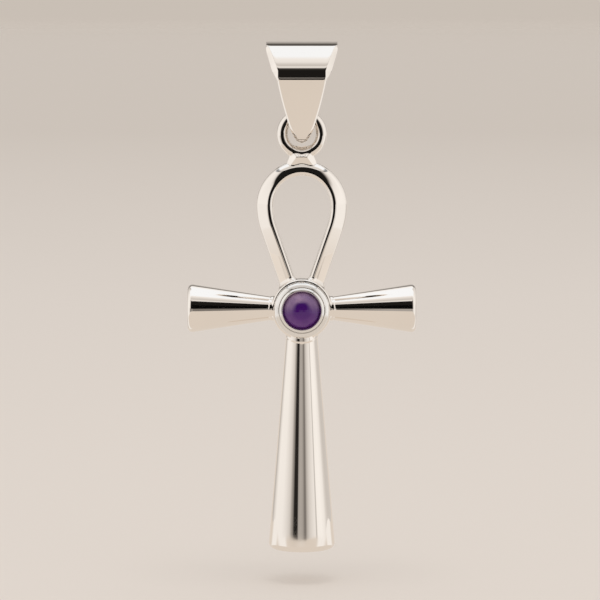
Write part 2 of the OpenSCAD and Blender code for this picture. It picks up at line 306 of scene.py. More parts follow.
class AnkhShape:
    """The soldered ankh as one smooth implicit solid."""

    # Where a collar starts and is full, as shares of the boss's radius, on the legs and on the arms and stem.
    leg_collar = (1.12, 1.04)
    bar_collar = (1.13, 1.07)
    # Spreads of the fillets from boss to bezel, ring to saddle and saddle to loop, and round the hollow.
    bezel_fillet, ring_fillet, loop_fillet, hollow_fillet = 0.06, 0.1, 0.18, 0.05
    # Metal under the bezel cup: how far inside the cup's radius it ends, and how far it stands off the boss.
    cup_inset, cup_height = 0.01, 0.3
    # Gap between the stone's back and the floor of its hollow.
    seat_gap = 0.07

    def __init__(self, sizes, bezel):
        self.s = s = in_mm(sizes)
        self.bezel = in_mm(bezel)
        self.loop_z = CROSS_Z + s.loop_drop
        self.ring_z = ankh_high[2] - s.ring_radius - s.ring_wire
        self.side_x = s.loop_radius - s.side_radius
        self.leg_x = self.side_x + s.side_radius * math.cos(s.leg_lean)
        self.leg_z = self.loop_z - s.side_radius * math.sin(s.leg_lean)

    def loop(self, x, y, z):
        """Teardrop of oval wire: a round top, two side arcs and two straight legs."""
        s = self.s
        top = np.hypot(x, z - self.loop_z) - s.loop_radius
        side = np.hypot(x - self.side_x, z - self.loop_z) - s.side_radius
        leg = (x - self.leg_x) * math.cos(s.leg_lean) + (z - self.leg_z) * -math.sin(s.leg_lean)
        turn = np.arctan2(self.loop_z - z, x - self.side_x)
        outward = np.where(z >= self.loop_z, top, np.where(turn <= s.leg_lean, side, leg))
        crown = oval(outward, -y, s.crown_long, s.crown_short, s.wire_roll)
        sides = bevelled(outward, -y, s.wire_half, s.ridge_radius, s.heel_radius)
        rise = ease((z - self.loop_z) / s.loop_radius, 0.0, 1.0)
        wire = rise * crown + (1 - rise) * sides
        away = np.hypot(x, z - CROSS_Z)
        wire = wire - s.collar * ease(away / s.boss_radius, *self.leg_collar)
        return np.maximum(wire, s.boss_radius / 2 - away)

    def ring(self, x, y, z):
        """Hanging ring of round wire."""
        around = np.hypot(x, z - self.ring_z) - self.s.ring_radius
        return np.hypot(around, y) - self.s.ring_wire

    def saddle(self, x, y, z):
        """Solder that slopes out from the ring's wire and back in to the loop, arched under its middle."""
        s = self.s
        rise = z - self.ring_z + s.ring_radius
        steep, level = math.sin(s.saddle_slope), math.cos(s.saddle_slope)
        dent = s.saddle_dent * np.exp(-(x / s.saddle_dent_width) ** 2)
        arch = s.saddle_arch * np.exp(-(x / s.saddle_arch_width) ** 2)
        above = np.abs(y) * level + rise * steep - s.saddle_reach + dent
        below = np.abs(y) * level - rise * steep - s.saddle_foot + arch
        ends = np.abs(x) - s.saddle_width / 2 - s.saddle_flare * rise
        corners = np.abs(x) * math.sin(s.saddle_turn) + np.abs(y) * math.cos(s.saddle_turn) - s.saddle_corner
        front = round_max(round_max(above, below, s.saddle_round), corners, s.saddle_round)
        return round_max(front, ends, s.saddle_round)

    def boss(self, x, y, z):
        """Round boss with the metal that stands under the bezel cup."""
        s = self.s
        across = np.hypot(x, z - CROSS_Z)
        front = round_max(across - s.boss_radius, -y - s.boss_front, s.boss_front_round)
        body = round_max(front, y - s.boss_back, s.boss_back_round)
        cup = np.maximum(across - self.bezel.outer_radius + self.cup_inset,
                         -y - s.boss_front - self.cup_height)
        return smooth_min(body, np.maximum(cup, y), self.bezel_fillet)

    def hollow(self, x, y, z):
        """Hollow that holds the stone."""
        across = np.hypot(x, z - CROSS_Z)
        return np.maximum(across - self.bezel.seat_radius, -stone_high[1] - self.seat_gap + y)

    def __call__(self, x, y, z):
        s = self.s
        mirrored = np.abs(x)
        rim, start = s.boss_radius, s.boss_radius / 2
        arms = flared_bar(mirrored, np.hypot(y, z - CROSS_Z), start, rim, ankh_high[0],
                          s.arm_root, s.arm_end, s.arm_round)
        stem = flared_bar(CROSS_Z - z, np.hypot(x, y), 0.0, rim, CROSS_Z - ankh_low[2],
                          s.stem_root, s.stem_end, s.stem_round)
        near = ease(np.hypot(x, z - CROSS_Z) / rim, *self.bar_collar)
        solid = self.boss(x, y, z)
        for bar in (arms, stem):
            solid = smooth_min(solid, bar - s.root_collar * near, s.root_solder)
        top = smooth_min(self.ring(x, y, z), self.saddle(x, y, z), self.ring_fillet)
        top = smooth_min(top, self.loop(mirrored, y, z), self.loop_fillet)
        solid = smooth_min(solid, top, s.solder)
        return smooth_max(solid, -self.hollow(x, y, z), self.hollow_fillet)


def surface_nets(shape, low, high, step):
    """Quads over the zero surface of a shape, in a box: one vertex for each grid cell that it crosses."""
    axes = [np.arange(a, b + step, step) for a, b in zip(low, high)]
    grid = np.meshgrid(*axes, indexing="ij", sparse=True)
    field = shape(*grid)
    inside = field < 0
    corners = [(i, j, k) for i in (0, 1) for j in (0, 1) for k in (0, 1)]
    cells = tuple(n - 1 for n in field.shape)
    count = sum(inside[i:i + cells[0], j:j + cells[1], k:k + cells[2]].astype(np.int8) for i, j, k in corners)
    active = np.argwhere((count > 0) & (count < 8))
    number = np.full(cells, -1, np.int64)
    number[tuple(active.T)] = np.arange(len(active))
    value = {c: field[active[:, 0] + c[0], active[:, 1] + c[1], active[:, 2] + c[2]] for c in corners}
    total = np.zeros((len(active), 3))
    crossings = np.zeros(len(active))
    for a in corners:
        for axis in range(3):
            if a[axis]:
                continue
            b = tuple(1 if n == axis else a[n] for n in range(3))
            fa, fb = value[a], value[b]
            cross = (fa < 0) != (fb < 0)
            t = np.where(cross, fa / np.where(cross, fa - fb, 1), 0)
            point = np.array(a, float) + t[:, None] * (np.array(b) - np.array(a))
            total += np.where(cross[:, None], point, 0)
            crossings += cross
    points = np.array(low) + step * (active + total / crossings[:, None])
    quads = []
    for axis in range(3):
        u, v = (axis + 1) % 3, (axis + 2) % 3
        lower = [slice(None)] * 3
        upper = [slice(None)] * 3
        lower[axis], upper[axis] = slice(0, -1), slice(1, None)
        change = inside[tuple(lower)] != inside[tuple(upper)]
        edge = np.argwhere(change)
        edge = edge[(edge[:, u] > 0) & (edge[:, v] > 0) & (edge[:, u] < cells[u]) & (edge[:, v] < cells[v])]
        around = []
        for du, dv in ((1, 1), (0, 1), (0, 0), (1, 0)):
            cell = edge.copy()
            cell[:, u] -= du
            cell[:, v] -= dv
            around.append(number[tuple(cell.T)])
        quad = np.stack(around, axis=1)
        flip = ~inside[tuple(edge.T)]
        quad[flip] = quad[flip][:, ::-1]
        quads.append(quad)
    return points, np.concatenate(quads)


def slope(shape, points, reach=1e-3):
    """Gradient of a shape at points."""
    parts = []
    for axis in range(3):
        offset = np.zeros(3)
        offset[axis] = reach
        ahead, behind = (points + offset).T, (points - offset).T
        parts.append((shape(*ahead) - shape(*behind)) / (2 * reach))
    return np.stack(parts, axis=1)


def settle(shape, points, rounds=3):
    """Moves points onto the shape's surface."""
    for _ in range(rounds):
        gradient = slope(shape, points)
        size = np.maximum((gradient ** 2).sum(1), 0.05)
        points = points - (shape(*points.T) / size)[:, None] * gradient
    return points


def relax(points, quads, rounds, shape):
    """Evens out the quads, keeping every point on the surface."""
    a = quads.ravel()
    b = np.roll(quads, -1, axis=1).ravel()
    for _ in range(rounds):
        total = np.zeros_like(points)
        np.add.at(total, a, points[b])
        np.add.at(total, b, points[a])
        weight = np.bincount(a, minlength=len(points)) + np.bincount(b, minlength=len(points))
        points = settle(shape, 0.5 * points + 0.5 * total / weight[:, None], 2)
    return points


def place_object(name, data):
    """A new object in the scene."""
    thing = bpy.data.objects.new(name, data)
    bpy.context.scene.collection.objects.link(thing)
    return thing


def new_mesh(name, points, faces, material):
    """A new object with one material, from points in millimetres."""
    mesh = bpy.data.meshes.new(name)
    mesh.from_pydata((np.asarray(points) * MM).tolist(), [], np.asarray(faces).tolist())
    mesh.materials.append(material)
    return place_object(name, mesh)


def add_mesh(name, points, faces, body, material, normals=None):
    """Makes a smooth piece that rides on a body and is finished with a material."""
    piece = new_mesh(name, points, faces, material)
    piece.data.validate()
    piece.data.shade_smooth()
    if normals is not None:
        piece.data.normals_split_custom_set_from_vertices(normals.tolist())
    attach(piece, body)
    return piece


def tube_faces(rows, columns):
    """Quads over a grid of points that closes on itself both ways."""
    i, j = np.meshgrid(np.arange(rows), np.arange(columns), indexing="ij")
    i2, j2 = (i + 1) % rows, (j + 1) % columns
    faces = np.stack([i * columns + j, i2 * columns + j, i2 * columns + j2, i * columns + j2], axis=2)
    return faces.reshape(-1, 4)


def lathe(profile, segments):
    """Turns a closed half outline (radius, depth) round the line that runs forward through the cross."""
    profile = np.array(profile)
    turn = np.linspace(0, 2 * math.pi, segments, endpoint=False)
    x = np.outer(np.cos(turn), profile[:, 0])
    z = np.outer(np.sin(turn), profile[:, 0]) + CROSS_Z
    y = np.broadcast_to(-profile[:, 1], x.shape)
    return np.stack([x, y, z], axis=2).reshape(-1, 3), tube_faces(segments, len(profile))


def bend(first, at, last, t):
    """A place on the curve that leaves the first place toward the second and arrives at the last."""
    return (1 - t) ** 2 * first + 2 * t * (1 - t) * at + t * t * last


def rounded(before, at, after, radius, steps=7):
    """Points round a corner, starting and ending the radius away from it."""
    at = np.array(at)
    first, last = (at + (np.array(end) - at) * min(radius / math.dist(end, at), 0.48)
                   for end in (before, after))
    return [tuple(bend(first, at, last, t)) for t in np.linspace(0, 1, steps)]


def bulged(first, last, swell):
    """The middle of a line in a half outline, moved outward and forward."""
    return ((first[0] + last[0]) / 2 + swell * 0.6, (first[1] + last[1]) / 2 + swell * 0.8)


def arc(centre, radius, start, end, steps):
    """Points of an arc in a half outline, with angles in degrees."""
    turn = np.radians(np.linspace(start, end, steps))
    return [(centre[0] + radius * math.cos(t), centre[1] + radius * math.sin(t)) for t in turn]


# Materials

class Nodes:
    """Adds and links the nodes of one tree."""

    def __init__(self, tree):
        self.tree = tree

    def fill(self, node, inputs):
        """Gives a node's inputs numbers, colours or the outputs of other nodes."""
        for key, value in inputs.items():
            socket = node.inputs[key]
            if isinstance(value, bpy.types.NodeSocket):
                self.tree.links.new(value, socket)
            else:
                socket.default_value = (*value, 1) if socket.type == "RGBA" else value

    def add(self, kind, inputs=(), **settings):
        """A new node of a kind, with its settings and inputs."""
        node = self.tree.nodes.new("ShaderNode" + kind)
        for setting, value in settings.items():
            setattr(node, setting, value)
        self.fill(node, dict(inputs))
        return node

    def place(self):
        """Place on the object."""
        return self.add("TexCoord").outputs["Object"]

    def split(self, vector):
        """The X, Y and Z of a vector."""
        return tuple(self.add("SeparateXYZ", {"Vector": vector}).outputs)

    def calc(self, operation, *values):
        """The result of one sum."""
        return self.add("Math", enumerate(values), operation=operation).outputs["Value"]

    def times(self, first, second):
        """The product of two values."""
        return self.calc("MULTIPLY", first, second)

    def distance(self, across, above):
        """Distance from the middle, from two distances at right angles."""
        return self.calc("SQRT", self.calc("ADD", self.times(across, across), self.times(above, above)))

    def noise(self, place, scale, detail):
        """Noise of a scale, from 0 to 1."""
        return self.add("TexNoise", {"Vector": place, "Scale": scale, "Detail": detail}).outputs["Fac"]

    def fade(self, value, low, high, at_low=0.0, at_high=1.0, kind="SMOOTHSTEP"):
        """Goes from one number to another while a value goes from low to high."""
        ends = {"Value": value, "From Min": low, "From Max": high, "To Min": at_low, "To Max": at_high}
        return self.add("MapRange", ends, interpolation_type=kind).outputs["Result"]

    def mix(self, factor, first, second, blend="MIX"):
        """Mixes or multiplies two colours."""
        node = self.add("Mix", {"Factor": factor}, data_type="RGBA", blend_type=blend)
        places = [place for place, socket in enumerate(node.inputs) if socket.type == "RGBA"]
        self.fill(node, dict(zip(places, (first, second))))
        return next(socket for socket in node.outputs if socket.type == "RGBA")

    def ramp(self, value, stops):
        """A colour ramp with stops (place, colour), where a single number is a grey."""
        node = self.add("ValToRGB", {"Fac": value})
        elements = node.color_ramp.elements
        while len(elements) < len(stops):
            elements.new(0.5)
        for element, (place, tint) in zip(elements, stops):
            element.position = place
            tint = (tint,) * 3 if isinstance(tint, float) else tint
            element.color = (*tint, 1)
        return node.outputs["Color"]

    def emission(self, tint, strength=1.0):
        """A shader that glows in a colour."""
        return self.add("Emission", {"Color": tint, "Strength": strength}).outputs["Emission"]

    def mix_shader(self, factor, first, second):
        """Mixes two shaders."""
        return self.add("MixShader", {"Fac": factor, 1: first, 2: second}).outputs["Shader"]


def new_material(name):
    """A new material, its nodes, and its shader."""
    material = bpy.data.materials.new(name)
    material.use_nodes = True
    return material, Nodes(material.node_tree), material.node_tree.nodes["Principled BSDF"]


def silver_material(name, finishes, gap_radius=0.0):
    """Polished silver: faint lines and haze, painted shade in the seams, and a painted dark ring of shade and
    reflection round the stone.
    """
    material, nodes, shader = new_material(name)
    place = nodes.place()
    haze = nodes.noise(place, 420, 4)
    cloud = nodes.noise(place, 90, 2)
    shade_of_cloud, seam_reach = 0.97, 0.35 * MM
    crevice = nodes.add("AmbientOcclusion", {"Distance": seam_reach}, samples=8).outputs["AO"]
    clouded = [c * shade_of_cloud for c in finishes.silver]
    base = nodes.mix(nodes.fade(cloud, 0.3, 0.7), finishes.silver, clouded)
    # Painted shade: ambient occlusion darkens the silver toward its crevice colour in seams and crevices.
    base = nodes.mix(nodes.fade(crevice, 0.15, 0.55, 1.0, 0.0), base, finishes.tarnish)
    # Painted shade and reflection: a dark ring just inside the crest, in front, round the stone.
    if gap_radius:
        gap_edge, gap_front, gap_back = 0.04 * MM, -1.6 * MM, -1.4 * MM
        x, y, z = nodes.split(place)
        away = nodes.distance(x, nodes.calc("SUBTRACT", z, CROSS_Z * MM))
        within = nodes.fade(away, gap_radius - gap_edge, gap_radius, 1.0, 0.0)
        ahead = nodes.fade(y, gap_front, gap_back, 1.0, 0.0)
        base = nodes.mix(nodes.times(within, ahead), base, finishes.oxide)
    stretched = nodes.add("Mapping", {"Vector": place, "Scale": (1.0, 1.0, 0.12)}).outputs["Vector"]
    lines = nodes.add("Bump", {
        "Height": nodes.noise(stretched, 2600, 2), "Strength": 0.03, "Distance": 0.01 * MM})
    nodes.fill(shader, {
        "Metallic": 1.0,
        "Base Color": base,
        "Roughness": nodes.fade(haze, 0.35, 0.75, finishes.polish * 0.6, finishes.polish * 1.8),
        "Normal": lines.outputs["Normal"]})
    return material


def stone_material(name, finishes):
    """Violet quartz: deep above, lit within below, with faint clouds and a painted highlight, a pale zone
    near its upper edge.
    """
    material, nodes, shader = new_material(name)
    place = nodes.place()
    x, _, z = nodes.split(place)
    radius, middle = float(stone_high[0]) * MM, CROSS_Z * MM
    lowest, glow_end = middle - radius, middle + 0.45 * radius
    clouds = nodes.fade(nodes.noise(place, 900, 3), 0.3, 0.75, 0.55, 1.0)
    # Painted light: the stone is coloured lighter low down, where light gathers in it, and darker above as
    # painted shade.
    glow = nodes.times(nodes.fade(z, lowest, glow_end, 1.0, 0.0), clouds)
    body = nodes.mix(glow, finishes.violet_deep, finishes.violet_light)
    # Painted highlight: a pale zone near the stone's upper edge, strongest toward the left.
    across = nodes.calc("DIVIDE", x, radius)
    above = nodes.calc("DIVIDE", nodes.calc("SUBTRACT", z, middle), radius)
    away = nodes.distance(across, above)
    inner = nodes.fade(away, 0.34, 0.56)
    outer = nodes.fade(away, 0.90, 0.99, 1.0, 0.0)
    upper = nodes.fade(above, -0.15, 0.55, 0.12, 1.0)
    leftward = nodes.fade(across, -0.3, 0.8, 1.0, 0.6)
    painted_highlight = nodes.times(nodes.times(inner, outer), nodes.times(nodes.times(upper, leftward), clouds))
    nodes.fill(shader, {
        "Base Color": nodes.mix(painted_highlight, body, finishes.violet_veil),
        "Roughness": 0.04,
        "IOR": 1.45,
        "Specular Tint": (1.0, 0.75, 1.0),
        "Coat Weight": 0.25,
        "Coat Roughness": 0.015,
        "Coat IOR": 1.5,
        "Coat Tint": (0.97, 0.9, 1.0)})
    return material


# The bail

class Walk:
    """Draws half of the bail's side outline from the top down, as arcs and straight lines."""

    def __init__(self, depth, z, tilt):
        self.depth, self.z, self.tilt = depth, z, math.radians(tilt)
        self.points = [(depth, z)]
        self.tilts = [self.tilt]

    def arc(self, tilt, radius, steps):
        """Curves on until the face's normal tilts up by this angle."""
        end = math.radians(tilt)
        start, depth, z = self.tilt, self.depth, self.z
        for t in np.linspace(start, end, steps + 1)[1:]:
            self.depth = depth + radius * (math.cos(t) - math.cos(start))
            self.z = z + radius * (math.sin(t) - math.sin(start))
            self.points.append((self.depth, self.z))
            self.tilts.append(t)
        self.tilt = end

    def line_to(self, depth, z, steps):
        """Goes straight on to a place."""
        for t in np.linspace(0, 1, steps + 1)[1:]:
            self.points.append((self.depth + (depth - self.depth) * t, self.z + (z - self.z) * t))
            self.tilts.append(self.tilt)
        self.depth, self.z = depth, z


def bail_side(s, half_depth, top_z, tip_z):
    """Side outline of the fold: a low roof, a sloping face, an upright band, and a blade down to the tip."""
    centre = tip_z + s.tip_radius
    lean = FIRST_LEAN
    for _ in range(12):
        walk = Walk(0.0, top_z, 90)
        for tilt, radius, steps in (*SIDE_ARCS, (-lean, *BAND_ARC)):
            walk.arc(tilt, radius, steps)
        foot = s.tip_radius * math.cos(math.radians(lean))
        drop = walk.z - centre + s.tip_radius * math.sin(math.radians(lean))
        lean = math.degrees(math.atan2(walk.depth - foot, drop))
    widest, widest_z = max(walk.points)
    walk.line_to(foot, centre - s.tip_radius * math.sin(math.radians(lean)), 40)
    walk.arc(-90, s.tip_radius, 64)
    points, tilts = np.array(walk.points), np.array(walk.tilts)
    share_up = np.clip((points[:, 1] - centre) / (widest_z - FITTED_DROP - centre), 0, 1)
    points[:, 0] *= 1 + (half_depth / widest - 1) * share_up
    front = np.stack([-points[:, 0], points[:, 1]], axis=1)
    normals = np.stack([-np.cos(tilts), np.sin(tilts)], axis=1)
    back = front[::-1][1:-1] * np.array([-1, 1])
    back_normals = normals[::-1][1:-1] * np.array([-1, 1])
    return np.concatenate([front, back]), np.concatenate([normals, back_normals])


class BailFront:
    """Half width of the bail at each height, with its corners softened."""

    def __init__(self, s, top, tip):
        shoulder = top - s.shoulder_drop
        waist = shoulder - s.shoulder_height
        point = tip + s.point_height
        margin, samples, window = 0.5, 1400, 93
        full_width_drop, extra_narrowing = 0.85, 0.11
        z = np.linspace(point - margin, top + margin, samples)
        narrowing = (s.waist_width - s.point_width) / 2 / (waist - point)
        start = s.point_width / 2 - margin * (narrowing + extra_narrowing)
        half = np.interp(z, [z[0], point, waist, shoulder, top - full_width_drop, z[-1]],
                         [start, s.point_width / 2, s.waist_width / 2, s.shoulder_width / 2,
                          s.fold_width / 2, s.fold_width / 2])
        in_blade = np.clip((z - point) / (waist - point), 0, 1)
        half += 4 * s.blade_bulge * in_blade * (1 - in_blade)
        kernel = np.hanning(window)
        padded = np.pad(half, window // 2, mode="reflect", reflect_type="odd")
        self.z, self.half = z, np.convolve(padded, kernel / kernel.sum(), mode="valid")
        self.tip, self.point = tip, point
        self.at_point = float(np.interp(point, self.z, self.half))

    def __call__(self, z):
        rise = np.clip((z - self.tip) / (self.point - self.tip), 0, 1)
        return np.where(z < self.point, self.at_point * rise ** 0.5, np.interp(z, self.z, self.half))


def bail_mesh(sizes):
    """Sweeps a bevelled strip round the fold and the tip."""
    s = in_mm(sizes)
    top_z, tip_z = float(bail_high[2]), float(bail_low[2])
    outer, normals = bail_side(s, float(bail_high[1] - bail_low[1]) / 2, top_z, tip_z)
    tilts = np.degrees(np.arctan2(normals[:, 1], np.abs(normals[:, 0])))
    seams = sum(np.exp(-((tilts + seam) / SEAM_SPREAD) ** 2) for seam in SEAM_TILTS)
    outer = outer - normals * (s.seam_depth * seams)[:, None]
    width = BailFront(s, top_z, tip_z)
    shoulder = top_z - s.shoulder_drop
    under = ease(-normals[:, 1], 0.5, 1.0)
    slot = tip_z + s.tip_metal + 0.5
    thick = np.interp(outer[:, 1], [slot, shoulder - 1.0], [s.tip_wall, s.wall])
    thick = thick + (s.tip_metal - s.tip_wall) * under
    drop = top_z - outer[:, 1]
    on_blade = np.interp(outer[:, 1], [tip_z + 0.6, tip_z + 1.8], [s.tip_bevel, s.blade_bevel])
    on_fold = width(outer[:, 1]) - np.interp(drop, FACE_DROPS, FACE_HALVES)
    bevel = np.where(drop > FACE_DROPS[-1], on_blade, np.maximum(on_fold, s.inner_bevel / 2))
    bevel = np.minimum(bevel, thick * OUTER_BEVEL_SHARE)
    bevel = np.minimum(bevel, WIDTH_BEVEL_SHARE * width(outer[:, 1]) + 0.004)
    inner_bevel = np.minimum(s.inner_bevel, thick * INNER_BEVEL_SHARE)

    def at_depth(e):
        """Point (y, z) of each station at a depth below the outer face."""
        return outer - normals * e[:, None]

    columns = []

    def put(x, e):
        """Adds a line of points along the strip at half widths and depths."""
        place = at_depth(e)
        columns.append(np.stack([x, place[:, 0], place[:, 1]], axis=1))

    def toward(a, b):
        """The place where the rounding of a starts on the way to b."""
        gap = np.hypot(b[0] - a[0], b[1] - a[1])
        t = np.minimum(s.edge_round / np.maximum(gap, 1e-6), 0.45)
        return a[0] + (b[0] - a[0]) * t, a[1] + (b[1] - a[1]) * t

    def corner(before, at, after, steps=5):
        """A rounded corner between three (x, depth) places."""
        first, last = toward(at, before), toward(at, after)
        for t in np.linspace(0, 1, steps):
            put(bend(first[0], at[0], last[0], t), bend(first[1], at[1], last[1], t))

    zero = np.zeros(len(thick))
    edge_x = np.maximum(width(outer[:, 1]) - bevel, 0.001)
    face = (edge_x, zero)
    side_top = (width(at_depth(bevel)[:, 1]), bevel)
    side_low = (width(at_depth(thick - inner_bevel)[:, 1]), thick - inner_bevel)
    back = (np.maximum(width(at_depth(thick)[:, 1]) - inner_bevel, 0.05), thick)
    inside = np.linspace(0, 1, 15)[:-1]
    for t in inside:
        put(edge_x * t * 0.97, zero)
    corner((edge_x * inside[-1] * 0.97, zero), face, side_top)
    corner(face, side_top, side_low)
    for t in np.linspace(0, 1, 6)[1:-1]:
        e = side_top[1] + (side_low[1] - side_top[1]) * t
        put(width(at_depth(e)[:, 1]), e)
    corner(side_top, side_low, back, 4)
    corner(side_low, back, (zero, thick), 4)
    for t in np.linspace(1, 0, 9)[1:]:
        put(back[0] * t * 0.95, thick)
    half = np.stack(columns, axis=1)
    other = half[:, -2:0:-1] * np.array([-1, 1, 1])
    section = np.concatenate([half, other], axis=1)
    turned_over = [0, 3, 2, 1]
    return section.reshape(-1, 3), tube_faces(*section.shape[:2])[:, turned_over]


class PENDANT_OT_bail(bpy.types.Operator):
    """Folded silver bail that a chain runs through"""
    bl_idname = "pendant.bail"
    bl_label = "Bail"

    def execute(self, context):
        scene = context.scene
        points, faces = bail_mesh(scene.pendant_bail)
        finish = silver_material("bail_silver", scene.pendant_finishes)
        piece = add_mesh("bail_fold", points, faces, "bail", finish)
        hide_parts("bail")
        return {"FINISHED"}


class PENDANT_OT_ankh(bpy.types.Operator):
    """Soldered ankh: hanging ring, loop, arms, stem and boss"""
    bl_idname = "pendant.ankh"
    bl_label = "Ankh"

    def execute(self, context):
        scene = context.scene
        sizes = scene.pendant_ankh
        step = sizes.grid / MM
        shape = AnkhShape(sizes, scene.pendant_bezel)
        room_in_front = 0.6
        side = math.ceil(ankh_high[0] / step + 1.5) * step
        low = (-side, ankh_low[1] - room_in_front, ankh_low[2] - 2 * step)
        high = (side, ankh_high[1] + 2 * step, ankh_high[2] + 2 * step)
        points, quads = surface_nets(shape, low, high, step)
        points = relax(settle(shape, points), quads, 3, shape)
        normals = slope(shape, points)
        normals /= np.linalg.norm(normals, axis=1)[:, None]
        gap_radius = scene.pendant_bezel.crest_radius - 0.01 * MM
        finish = silver_material("ankh_silver", scene.pendant_finishes, gap_radius)
        piece = add_mesh("ankh_body", points, quads, "drop", finish, normals)
        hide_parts("ankh")
        return {"FINISHED"}


class PENDANT_OT_bezel(bpy.types.Operator):
    """Bezel cup with its crest, groove and lip"""
    bl_idname = "pendant.bezel"
    bl_label = "Bezel"

    def execute(self, context):
        scene = context.scene
        s = in_mm(scene.pendant_bezel)
        base = scene.pendant_ankh.boss_front / MM + 0.1
        side, lip_depth = base + 0.3, 0.22
        edge = (s.outer_radius, s.rim - s.outer_drop)
        groove_rim = s.rim - s.groove_drop
        groove_out = (s.groove_radius + s.groove_width / 2, groove_rim)
        groove_in = (s.groove_radius - s.groove_width / 2, groove_rim + s.swell)
        top = (s.crest_radius, s.rim)
        lip_end = (s.lip_radius, s.rim - s.lip_drop)
        corners = [(s.outer_radius, side), edge, bulged(edge, groove_out, s.swell), groove_out,
                   (s.groove_radius, groove_rim - s.groove_cut), groove_in, bulged(groove_in, top, s.swell),
                   top, lip_end, (s.seat_radius, lip_end[1] - lip_depth)]
        radii = (s.edge_round, 0.15, 0.02, 0.01, 0.02, 0.12, s.crest_round, 0.02)
        profile = [(s.outer_radius, base), corners[0]]
        for before, at, after, radius in zip(corners, corners[1:], corners[2:], radii):
            profile += rounded(before, at, after, radius)
        profile += [corners[-1], (s.seat_radius, base)]
        points, faces = lathe(profile, CUP_SEGMENTS)
        finish = bpy.data.materials["ankh_silver"]
        add_mesh("bezel_cup", points, faces, "drop", finish)
        return {"FINISHED"}


class PENDANT_OT_stone(bpy.types.Operator):
    """Round violet cabochon in the bezel"""
    bl_idname = "pendant.stone"
    bl_label = "Stone"

    def execute(self, context):
        scene = context.scene
        girdle = scene.pendant_stone.girdle / MM
        radius = float(stone_high[0])
        back, front = float(-stone_high[1]), float(-stone_low[1])
        dome = front - back - girdle
        dome_radius = (radius ** 2 + dome ** 2) / (2 * dome)
        widest = math.degrees(math.asin((dome_radius - dome) / dome_radius))
        profile = [(0.002, back), (radius * 0.5, back), (radius - 0.12, back)]
        profile += arc((radius - 0.08, back + 0.08), 0.08, -80, -5, 5)
        profile += [(radius, back + 0.2), (radius, back + girdle - 0.05)]
        profile += arc((0, front - dome_radius), dome_radius, widest + 1.2, 89.9, 44)
        points, faces = lathe(profile, STONE_SEGMENTS)
        finish = stone_material("violet_stone", scene.pendant_finishes)
        piece = add_mesh("cabochon", points, faces, "drop", finish)
        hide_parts("stone")
        return {"FINISHED"}


# The studio

def paper(level):
    """Colour of white card at a brightness: warm in the shade, near white in full light."""
    full = min(level, 1.0)
    return (level, level * (0.90 + 0.075 * full), level * (0.81 + 0.14 * full))


SKY = (1.03, 1.075, 1.13)
GREY = (0.44, 0.41, 0.38)
# Light from overhead, from the front (0) over the top (0.5) to the back (1). A number is card so bright.
OVERHEAD = (
    (0.0, 0.015), (0.208, 0.03), (0.222, 0.15), (0.238, 0.88), (0.256, 0.88), (0.283, 0.62), (0.32, 0.74),
    (0.355, 0.88), (0.378, 0.96), (0.392, SKY), (0.70, SKY), (0.77, 0.98), (0.80, 0.8), (0.815, 0.1),
    (0.85, 0.1), (0.862, GREY), (1.0, GREY))
# Light from the sides, from the back (0) to the front (1), in the same way.
BESIDE = ((0.0, GREY), (0.145, GREY), (0.155, 0.25), (0.175, 0.3), (0.2, 0.7), (0.24, 0.97), (1.0, 1.0))
# What the gap between them lets through, from straight up (0) to straight down (1).
GAP = ((0.0, 1.0), (0.185, 1.0), (0.20, 0.32), (0.215, 0.32), (0.23, 1.0), (1.0, 1.0))
# Lean from the vertical, in degrees, where the light changes from overhead to beside.
CHANGE_OVER = (36, 44)

# Brightness of the tent's card at angles round from the front, low beside the stem and high beside the loop.
TENT_LOW = (
    (-142, 0.5), (-134, 0.6), (-122, 0.84), (-110, 0.98), (-78, 0.97), (-64, 0.88), (-51, 0.76), (-45, 0.67),
    (-39, 0.41), (-33, 0.24), (-29, 0.02), (-16, 0.02), (-13, 0.42), (-4, 0.46), (4, 0.40), (11, 0.20),
    (14, 0.22), (20, 0.52), (29, 0.72), (40, 0.84), (51, 0.92), (53, 0.6), (56, 0.6), (58, 1.0), (75, 1.02),
    (92, 0.94), (103, 0.74), (113, 0.64), (142, 0.66))
TENT_HIGH = (
    (-142, 0.5), (-122, 0.84), (-90, 1.02), (-50, 0.94), (-38, 0.75), (-30, 0.012), (24, 0.012), (30, 0.2),
    (38, 0.6), (50, 0.9), (80, 1.02), (104, 0.9), (142, 0.75))
# Heights between which the card changes from low to high, in millimetres.
TENT_CHANGE = (-20.5, -17.5)


def card(stops):
    """The stops of a ramp, with white card for each number."""
    return [(place, paper(tint) if isinstance(tint, float) else tint) for place, tint in stops]


